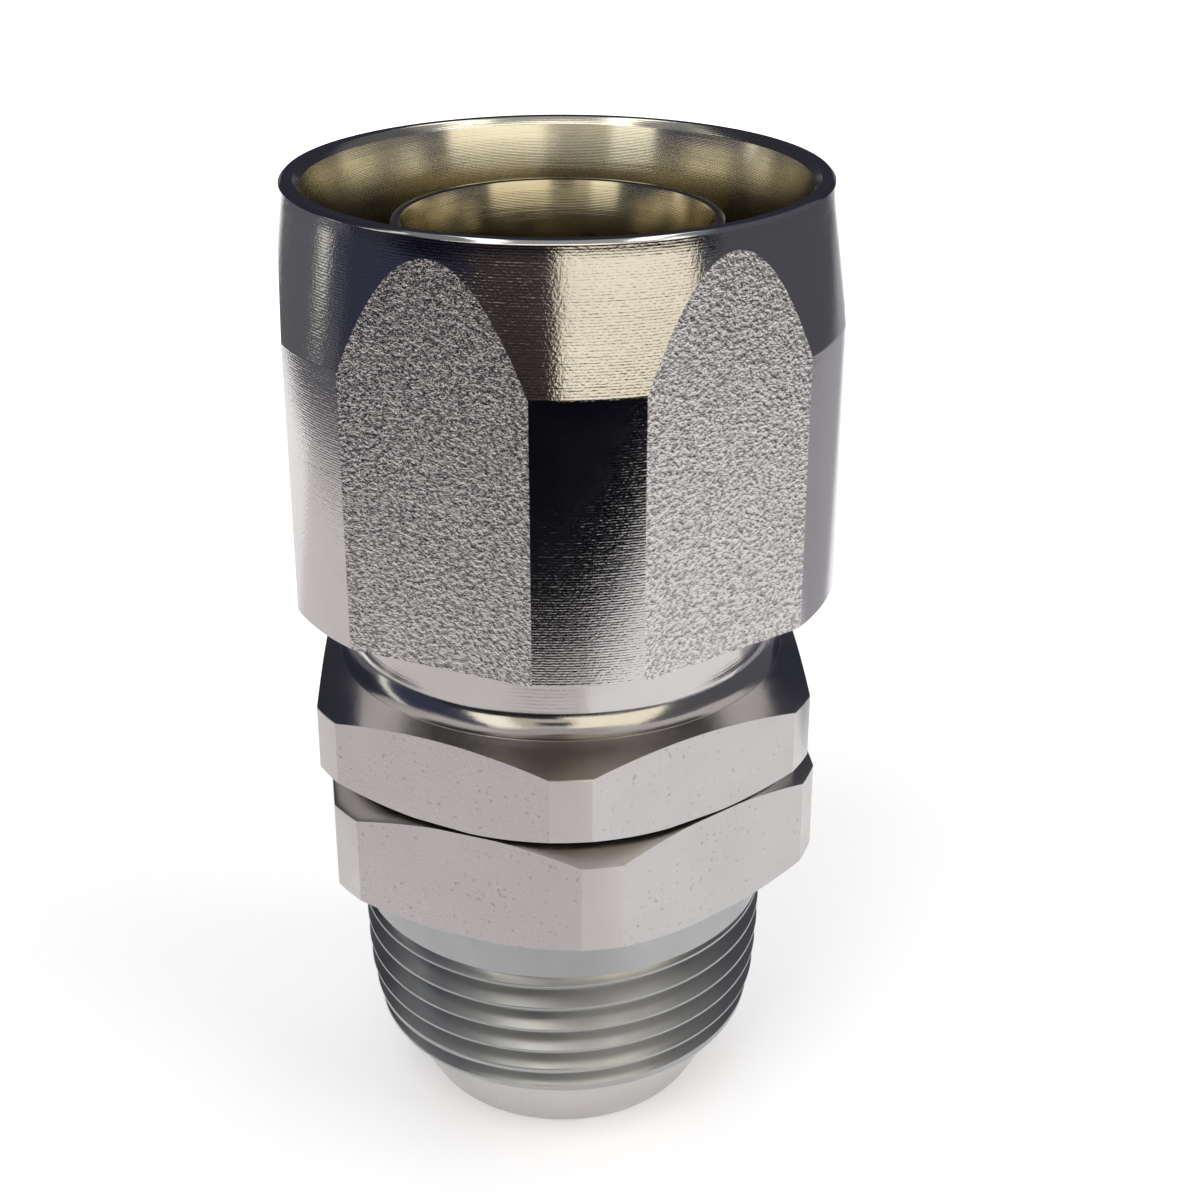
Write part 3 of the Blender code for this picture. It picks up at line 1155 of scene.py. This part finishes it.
    def mesh(self, look: bpy.types.Material) -> bpy.types.Mesh:
        """Runs the tree and returns its plain mesh.

        Args:
            look: The thread's material.

        Returns:
            The closed ring of thread.
        """
        item = linked("thread_form", bpy.data.meshes.new("thread_form"))
        step = item.modifiers.new("thread_form", "NODES")
        step.node_group = self.tree(look)
        sizes = self.sizes()
        for socket in step.node_group.interface.items_tree:
            if socket.in_out == "INPUT":
                step[socket.identifier] = sizes[socket.name]
        graph = bpy.context.evaluated_depsgraph_get()
        mesh = bpy.data.meshes.new_from_object(item.evaluated_get(graph))
        bpy.data.objects.remove(item)
        shape = bmesh.new()
        shape.from_mesh(mesh)
        bmesh.ops.recalc_face_normals(shape, faces=shape.faces)
        shape.to_mesh(mesh)
        shape.free()
        return mesh


@dataclass
class ThreadedEnd(Piece):
    """The lower piece: hexagon, shank, thread and nose.

    Attributes:
        flats: Size across flats.
        turn: Angle of the front corner towards +X.
        corner_r: Radius over the turned corners.
        hex_top: Upper end of the corners' strips.
        hex_low: Their lower end.
        face_r: Radius of the hexagon's faces.
        face_z: Height of its lower face.
        shank_r: Radius of the plain shank.
        shank_fillet: Size of the fillet between shank and hexagon.
        overlap: How far the body reaches out into the ring of thread.
        nose_top_r: Radius at the nose's top.
        nose_top_z: Height of its top.
        nose_r: Radius of its lower face, before the rounding.
        nose_round: The rounding, as points out from that radius and up.
        ring_floor_r: Radius of the snap ring groove's floor.
        bore_edge: Width of the broken edge of the swivel's bore.
        thread: The thread's own sizes.
    """

    flats: float = 38.0 * MM
    turn: float = radians(7.98)
    corner_r: float = 21.1 * MM
    hex_top: float = 30.7 * MM
    hex_low: float = 23.6 * MM
    face_r: float = 19.15 * MM
    face_z: float = 22.5 * MM
    shank_r: float = 16.78 * MM
    shank_fillet: float = 0.5 * MM
    overlap: float = 0.3 * MM
    nose_top_r: float = 14.7 * MM
    nose_top_z: float = 5.6 * MM
    nose_r: float = 11.65 * MM
    nose_round: tuple[tuple[float, float], ...] = (
        (0.25 * MM, 0.42 * MM),
        (0.06 * MM, 0.16 * MM),
        (-0.1 * MM, 0.03 * MM),
        (-0.3 * MM, 0.0),
    )
    ring_floor_r: float = 14.15 * MM
    bore_edge: float = 0.5 * MM
    thread: Thread = field(default_factory=Thread)

    def profile(self) -> Profile:
        """Lists the turned section without its thread.

        Returns:
            Points of radius and height.
        """
        base, thread, fillet = self.shared, self.thread, self.shank_fillet
        joint = base.hex_joint - base.gap / 2
        bore = base.spigot_r + base.running
        core = thread.core_r + self.overlap
        nose = [(self.nose_r + out, up) for out, up in self.nose_round]
        foot_r, foot_z = nose[0]
        slope = (self.nose_top_r - foot_r) / (self.nose_top_z - foot_z)
        outer = [
            (self.face_r, joint),
            (self.corner_r, self.hex_top),
            (self.corner_r, self.hex_low),
            (self.face_r, self.face_z),
            (self.shank_r + fillet, self.face_z),
            (self.shank_r + 0.3 * fillet, self.face_z - 0.3 * fillet),
            (self.shank_r, self.face_z - fillet),
            (self.shank_r, thread.high_z - thread.join),
            (core, thread.high_z - thread.join),
            (core, self.nose_top_z + thread.join),
            (self.nose_top_r + slope * thread.join, self.nose_top_z + thread.join),
            *nose,
        ]
        inner = [
            (base.bore_r, 0.0),
            (base.bore_r, base.spigot_end - base.gap),
            (bore, base.spigot_end - base.gap),
            (bore, base.ring_low),
            (self.ring_floor_r, base.ring_low),
            (self.ring_floor_r, base.ring_top),
            (bore, base.ring_top),
            (bore, joint - self.bore_edge),
            (bore + self.bore_edge, joint),
        ]
        return outer + inner

    def surface(self, centre: Vector, normal: Vector) -> Surface:
        """Tells which kind of surface a face of the threaded end is.

        Args:
            centre: The face's centre.
            normal: Its normal.

        Returns:
            The kind of surface.
        """
        if on_hexagon(centre, normal, self.flats, self.turn):
            return Surface.FLAT
        if in_bore(centre, normal):
            return Surface.BORE
        if centre.z < self.nose_top_z or centre.z > self.face_z:
            return Surface.END
        return Surface.TURNED

    def build(self) -> bpy.types.Object:
        """Makes the threaded end, with the thread joined to it.

        Returns:
            The finished piece.
        """
        item = lathe_mesh("threaded_end_dressed", self.profile())
        high = self.shared.hex_joint + PAST_END
        combined(item, "INTERSECT", hexagon_bar(self.flats, self.turn, -PAST_END, high))
        form = self.thread.mesh(self.looks[Surface.TURNED.value])
        combined(item, "UNION", linked("thread_form", form))
        sort_faces(item, self.surface)
        return self.place(item)



@dataclass(frozen=True)
class HiddenRings:
    """The snap ring and the seal ring inside the swivel.

    Attributes:
        spring: The snap ring's material.
        rubber: The seal ring's material.
    """

    spring: bpy.types.Material
    rubber: bpy.types.Material

    def dress(self) -> None:
        """Gives the two solids their finishes."""
        for node, look in (("snap_ring", self.spring), ("o_ring", self.rubber)):
            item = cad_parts[node]
            item.data.materials.clear()
            item.data.materials.append(look)
            log.info("%s dressed", node)


# The studio


Outline = tuple[tuple[float, float], ...]


def glow(name: str, colour: Colour) -> bpy.types.Material:
    """Makes a card's material, which glows in one even colour as a painted reflection.

    Args:
        name: The material's name.
        colour: Its colour, where 1 is white.

    Returns:
        The material.
    """
    made = bpy.data.materials.new(name)
    made.use_nodes = True
    made.node_tree.nodes.clear()
    graph = Graph(made.node_tree)
    light = graph.add("ShaderNodeEmission")
    graph.feed(light.inputs["Color"], (*colour, 1.0))
    graph.feed(graph.add("ShaderNodeOutputMaterial").inputs[0], light.outputs[0])
    return made


def mirrored_only(name: str, shape: bmesh.types.BMesh, colour: Colour) -> None:
    """Turns a bmesh into a stage object that only reflections see, a painted reflection that
    lights nothing and casts no shadow.

    Args:
        name: The object's name.
        shape: Its mesh, freed here.
        colour: The even colour that it shows.
    """
    item = solid(name, shape)
    item.data.materials.append(glow(name, colour))
    item.visible_camera = False
    item.visible_diffuse = False
    item.visible_shadow = False
    item.visible_transmission = False


def oblong(left: float, near: float, right: float, far: float) -> Outline:
    """Lists the corners of a level oblong.

    Args:
        left: Its least X.
        near: Its least Y.
        right: Its greatest X.
        far: Its greatest Y.

    Returns:
        The four corners.
    """
    return (left, near), (right, near), (right, far), (left, far)


@dataclass(frozen=True)
class Card:
    """A bent card round the fitting that only reflections see, glowing as a painted reflection:
    bright cards are painted highlights, dark ones painted shade.

    Attributes:
        name: The card's name.
        colour: What it shows, where 1 is white.
        start: First azimuth in degrees, from the front towards +X.
        end: Last azimuth.
        low: Lower edge's height.
        high: Upper edge's height.
        reach: Distance from the fitting.
    """

    name: str
    colour: Colour
    start: float
    end: float
    low: float
    high: float
    reach: float = 0.6

    def build(self) -> None:
        """Makes the card, a step for every four degrees."""
        shape = bmesh.new()
        steps = max(2, int(abs(self.end - self.start) / 4))
        rows = []
        for step in range(steps + 1):
            angle = radians(self.start + (self.end - self.start) * step / steps)
            x, y = self.reach * sin(angle), -self.reach * cos(angle)
            rows.append((shape.verts.new((x, y, self.low)), shape.verts.new((x, y, self.high))))
        for left, right in zip(rows, rows[1:]):
            shape.faces.new((left[0], right[0], right[1], left[1]))
        mirrored_only(self.name, shape, self.colour)


@dataclass(frozen=True)
class Panel:
    """A level card, window or sheet that only reflections see, glowing as a painted reflection:
    windows are painted highlights, dark sheets painted shade.

    Attributes:
        name: The panel's name.
        colour: What it shows, where 1 is white.
        outline: Its corners in X and Y.
        height: Its height above the floor.
    """

    name: str
    colour: Colour
    outline: Outline
    height: float

    def build(self) -> None:
        """Makes the panel."""
        shape = bmesh.new()
        shape.faces.new([shape.verts.new((x, y, self.height)) for x, y in self.outline])
        mirrored_only(self.name, shape, self.colour)


@dataclass(frozen=True)
class Lamp:
    """A soft square lamp aimed at the fitting, which shows in no reflection.

    Attributes:
        name: The lamp's name.
        place: Where it hangs.
        size: Its width.
        power: Its power in watts.
    """

    name: str
    place: tuple[float, float, float]
    size: float
    power: float

    def build(self) -> None:
        """Hangs the lamp."""
        data = bpy.data.lights.new(self.name, "AREA")
        data.energy = self.power
        data.size = self.size
        item = linked(self.name, data)
        item.location = self.place
        item.rotation_euler = (-Vector(self.place)).to_track_quat("-Z", "Y").to_euler()
        item.visible_glossy = False


@dataclass(frozen=True)
class View:
    """The camera at the photograph's viewing angle.

    Attributes:
        place: Where it stands.
        pitch: How far it looks down, in degrees.
        yaw: How far it looks towards +X.
        roll: How far it leans.
        focal: Focal length as a share of the picture's width.
        shift: How far the picture is shifted down, as a share of its width.
        sensor: The sensor's width in millimetres.
        nearest: The nearest distance that it sees.
    """

    place: tuple[float, float, float] = (0.0, -0.1419, 0.11002)
    pitch: float = 22.54
    yaw: float = 1.27
    roll: float = 0.08
    focal: float = 1949.04 / 1200.0
    shift: float = 100.0 / 1200.0
    sensor: float = 36.0
    nearest: float = 0.01

    def build(self) -> None:
        """Places the camera."""
        data = bpy.data.cameras.new("view")
        data.sensor_width = self.sensor
        data.lens = self.sensor * self.focal
        data.shift_y = -self.shift
        data.clip_start = self.nearest
        item = bpy.data.objects.new("view", data)
        pitch, yaw, roll = radians(self.pitch), radians(self.yaw), radians(self.roll)
        ahead = Vector((sin(yaw) * cos(pitch), cos(yaw) * cos(pitch), -sin(pitch)))
        side = Vector((cos(yaw), -sin(yaw), 0.0))
        up = side.cross(ahead)
        right = cos(roll) * side + sin(roll) * up
        above = cos(roll) * up - sin(roll) * side
        turn = Matrix((right, above, -ahead)).transposed()
        item.matrix_world = Matrix.Translation(self.place) @ turn.to_4x4()
        bpy.context.scene.collection.objects.link(item)
        bpy.context.scene.camera = item
        bpy.context.scene.view_settings.view_transform = "Standard"


# Painted highlights: the glow of windows that only reflections see.
WINDOW: Colour = (1.46, 1.36, 1.09)
WINDOW_ABOVE: Colour = (2.3, 2.25, 2.07)
WINDOW_THREAD: Colour = (2.3, 2.3, 2.25)
# Cards round the fitting that paint its reflected surroundings: the bright ones are painted
# highlights, the dark ones painted shade, and card_camera a painted reflection of the camera.
CARDS = (
    Card("card_behind_camera", (0.055, 0.043, 0.044), -33.0, 0.0, 0.0, 0.13, 0.59),
    Card("card_window_low", WINDOW, 0.0, 7.0, 0.0, 0.13, 0.59),
    Card("card_over_camera", (0.70, 0.65, 0.54), -13.0, 6.0, 0.13, 0.28),
    Card("card_camera", (0.017, 0.017, 0.026), -13.0, 6.0, 0.28, 0.5),
    Card("card_behind_left", (0.71, 0.66, 0.54), -26.0, -13.0, 0.13, 0.98),
    Card("card_above_camera", (0.60, 0.61, 0.60), -13.0, 6.0, 0.5, 0.98),
    Card("card_window_right", WINDOW, 6.0, 54.0, 0.0, 0.98),
    Card("card_window_left", (1.55, 1.50, 1.26), -48.0, -26.0, 0.13, 0.98),
    Card("card_dark_low", (0.03, 0.03, 0.045), -60.0, -33.0, 0.0, 0.13),
    Card("card_dark_right", (0.12, 0.12, 0.136), 54.0, 140.0, 0.0, 0.98),
    Card("card_dark_left", (0.05, 0.057, 0.10), -100.0, -48.0, 0.0, 0.98),
    Card("card_streak_left", (1.14, 1.14, 1.06), -107.0, -100.0, 0.0, 0.98),
    Card("card_back_low", (0.17, 0.17, 0.19), 140.0, 253.0, 0.0, 0.12),
    Card("card_back_high", (0.031, 0.033, 0.049), 140.0, 253.0, 0.12, 0.98),
)
CEILING_MIDDLE: Outline = (
    (-0.215, -0.215),
    (0.42, -0.215),
    (0.42, -0.1),
    (0.245, -0.1),
    (0.245, 0.13),
    (-0.165, 0.13),
    (-0.165, -0.1),
    (-0.215, -0.1),
)
# Outlines of sheets just above the floor, which only reflections see: they paint shade and dark
# surroundings into the floor that the metal reflects.
SHEET_BLACK: Outline = (
    (-0.5, -0.6),
    (0.5, -0.6),
    (0.5, -0.205),
    (0.02, -0.107),
    (-0.03, -0.096),
    (-0.5, -0.165),
)
SHEET_GREY_LEFT: Outline = (
    (-0.08, -0.135),
    (0.02, -0.135),
    (0.02, -0.03),
    (-0.055, -0.03),
    (-0.055, 0.06),
    (-0.17, 0.06),
    (-0.165, -0.02),
    (-0.13, -0.10),
)
SHEET_GREY_RIGHT: Outline = ((0.06, 0.03), (0.2, 0.03), (0.2, 0.35), (0.16, 0.35))
SHEET_DARK_LEFT: Outline = ((-0.6, -0.4), (-0.08, -0.4), (-0.08, -0.06), (-0.16, 0.0), (-0.6, 0.0))
SHEET_DIM_LEFT: Outline = ((-0.6, 0.0), (-0.16, 0.0), (-0.2, 0.4), (-0.6, 0.4))
# Panels that paint the reflections: the ceiling windows are painted highlights, and the sheets on
# the floor paint shade.
PANELS = (
    Panel("ceiling", (0.25, 0.27, 0.28), oblong(-1.0, -1.0, 1.0, 1.0), 1.0),
    Panel("ceiling_middle", (0.42, 0.43, 0.43), CEILING_MIDDLE, 0.985),
    Panel("window_thread_left", WINDOW_THREAD, oblong(-0.34, -0.26, -0.22, -0.1), 0.98),
    Panel("window_thread_right", WINDOW_THREAD, oblong(0.43, -0.18, 0.56, 0.02), 0.98),
    Panel("window_left", WINDOW_ABOVE, oblong(-0.31, -0.1, -0.17, 0.5), 0.99),
    Panel("window_right", WINDOW_ABOVE, oblong(0.25, -0.1, 0.40, 0.5), 0.99),
    Panel("window_front", (2.43, 2.36, 2.07), oblong(-0.6, -0.6, 0.6, -0.22), 0.99),
    Panel("sheet_black", (0.003, 0.003, 0.007), SHEET_BLACK, 0.003),
    Panel("sheet_grey_left", (0.88, 0.85, 0.85), SHEET_GREY_LEFT, 0.001),
    Panel("sheet_grey_right", (0.46, 0.45, 0.49), SHEET_GREY_RIGHT, 0.001),
    Panel("sheet_dark_right", (0.11, 0.11, 0.13), oblong(0.2, -0.4, 0.6, 0.4), 0.002),
    Panel("sheet_dark_left", (0.04, 0.04, 0.05), SHEET_DARK_LEFT, 0.0005),
    Panel("sheet_dim_left", (0.15, 0.15, 0.17), SHEET_DIM_LEFT, 0.0005),
)
LAMPS = (
    Lamp("key", (-0.5, -0.7, 1.2), 0.9, 8.0),
    Lamp("fill", (0.8, -0.3, 1.0), 0.9, 5.5),
    Lamp("top", (0.0, 0.4, 1.4), 1.2, 5.0),
)


@dataclass
class Studio:
    """Floor, cards, panels, lamps, world and camera.

    Attributes:
        floor_size: Width of the floor.
        floor_tone: Its colour.
        floor_rough: Its roughness.
        floor_lift: How much of the white background is in it beside the fitting.
        lift_near: Distance from the fitting where that begins to rise.
        lift_far: Distance from which it is all there.
        world_light: Strength of the world's light on things.
    """

    floor_size: float = 6.0
    floor_tone: Colour = (0.84, 0.83, 0.83)
    floor_rough: float = 0.9
    floor_lift: float = 0.3
    lift_near: float = 0.12
    lift_far: float = 0.45
    world_light: float = 0.35

    def build(self) -> None:
        """Makes the whole studio."""
        self.floor()
        for part in (*CARDS, *PANELS, *LAMPS):
            part.build()
        self.world()
        View().build()
        log.info("studio: %d cards, %d panels", len(CARDS), len(PANELS))

    def floor(self) -> None:
        """Makes the pale floor, which looks the same to the camera and in the metal, though the
        sheets just above it paint shade into the floor that the metal reflects.
        """
        shape = bmesh.new()
        bmesh.ops.create_grid(shape, x_segments=1, y_segments=1, size=self.floor_size / 2)
        item = solid("floor", shape)
        look, graph, shader = new_material("floor_paper")
        shader.inputs["Base Color"].default_value = (*self.floor_tone, 1.0)
        shader.inputs["Roughness"].default_value = self.floor_rough
        shader.inputs["Specular IOR Level"].default_value = 0.0
        shader.inputs["Emission Color"].default_value = (1.0, 1.0, 1.0, 1.0)
        reach = graph.add("ShaderNodeVectorMath", operation="LENGTH")
        graph.feed(reach.inputs[0], graph.add("ShaderNodeTexCoord").outputs["Object"])
        away = reach.outputs["Value"]
        lift = graph.remap(away, self.lift_near, self.lift_far, self.floor_lift, 1.0)
        strength = graph.math("MULTIPLY", self.direct(graph), lift)
        graph.feed(shader.inputs["Emission Strength"], strength)
        item.data.materials.append(look)

    def direct(self, graph: Graph) -> bpy.types.NodeSocket:
        """Tells the rays that come straight from the camera, or by way of metal or glass.

        Args:
            graph: The tree.

        Returns:
            The socket, 1 for those rays and 0 for the light that falls on things.
        """
        seen = graph.add("ShaderNodeLightPath").outputs
        mirrored = graph.math("MAXIMUM", seen["Is Glossy Ray"], seen["Is Transmission Ray"])
        return graph.math("MAXIMUM", seen["Is Camera Ray"], mirrored)

    def world(self) -> None:
        """Makes a world that is white to the camera and in reflections, and a soft grey light."""
        world = bpy.data.worlds.new("studio")
        bpy.context.scene.world = world
        world.use_nodes = True
        graph = Graph(world.node_tree)
        back = world.node_tree.nodes["Background"]
        back.inputs["Color"].default_value = (1.0, 1.0, 1.0, 1.0)
        rest = 1.0 - self.world_light
        strength = graph.math("MULTIPLY_ADD", self.direct(graph), rest, self.world_light)
        graph.feed(back.inputs["Strength"], strength)


def looks() -> dict[str, bpy.types.Material]:
    """Makes the fitting's materials, each of them once.

    Returns:
        Each material by its finish's name.
    """
    steel = (0.56, 0.54, 0.53)
    # Painted light: a lighter copy of the steel, which makes the socket's flats and rim brighter
    # than its turned strips.
    bright = (0.62, 0.60, 0.59)
    rose = (0.50, 0.475, 0.477)
    warm = (0.68, 0.645, 0.555)
    olive = (0.52, 0.47, 0.345)
    # Painted shade: a darker, bluer copy of the steel for the thread and shank, standing in for
    # the shaded floor near the fitting that they reflect.
    grey = (0.395, 0.40, 0.41)
    spring = (0.2, 0.2, 0.22)
    made = (
        Plating(
            "bar_flat",
            bright,
            0.07,
            grain_size=0.34 * MM,
            grain_depth=0.19 * MM,
            grain_lean=0.3,
            hollow_shade=0.5,
        ),
        Plating(
            "bar_turned",
            steel,
            0.10,
            line_pitch=0.2 * MM,
            line_depth=0.0028 * MM,
            grain_size=0.25 * MM,
            grain_depth=0.013 * MM,
        ),
        Plating("bar_rim", bright, 0.09, line_pitch=0.12 * MM, line_depth=0.001 * MM),
        Plating("mouth_bore", warm, 0.16, line_pitch=0.12 * MM, line_depth=0.003 * MM),
        Plating(
            "hex_flat",
            rose,
            0.2,
            grain_size=0.28 * MM,
            grain_depth=0.045 * MM,
            grain_lean=0.2,
            pit_amount=0.9,
        ),
        Plating(
            "neck_turned",
            steel,
            0.16,
            line_pitch=0.3 * MM,
            line_depth=0.0022 * MM,
            grain_size=0.4 * MM,
            grain_depth=0.005 * MM,
        ),
        Plating(
            "corner_turned",
            steel,
            0.22,
            line_pitch=0.2 * MM,
            line_depth=0.0008 * MM,
            grain_size=0.4 * MM,
            grain_depth=0.004 * MM,
        ),
        Plating("nipple_turned", olive, 0.16, line_pitch=0.12 * MM, line_depth=0.0045 * MM),
        Plating("thread_turned", grey, 0.36, line_pitch=0.1 * MM, line_depth=0.001 * MM),
        Plating("nose_turned", steel, 0.3, line_pitch=0.14 * MM, line_depth=0.0015 * MM),
        Plating("ring_spring", spring, 0.35, line_pitch=0.3 * MM, line_depth=0.002 * MM),
        RubberFinish(),
    )
    return {finish.name: finish.material() for finish in made}


def main() -> None:
    """Builds the fitting and its studio in order."""
    logging.basicConfig(level=logging.INFO)
    look = looks()
    shared = Fitting()
    Studio().build()
    Socket(
        "socket",
        "hose_end",
        "plated_bar",
        [look["bar_turned"], look["bar_flat"], look["mouth_bore"], look["bar_rim"]],
        shared,
    ).build()
    Insert(
        "insert",
        "hose_end",
        "plated_turned",
        [look["neck_turned"], look["hex_flat"], look["nipple_turned"], look["corner_turned"]],
        shared,
    ).build()
    ThreadedEnd(
        "threaded_end",
        "port_end",
        "plated_end",
        [look["thread_turned"], look["hex_flat"], look["nipple_turned"], look["nose_turned"]],
        shared,
    ).build()
    HiddenRings(look["ring_spring"], look["seal_rubber"]).dress()


if __name__ == "__main__":
    main()
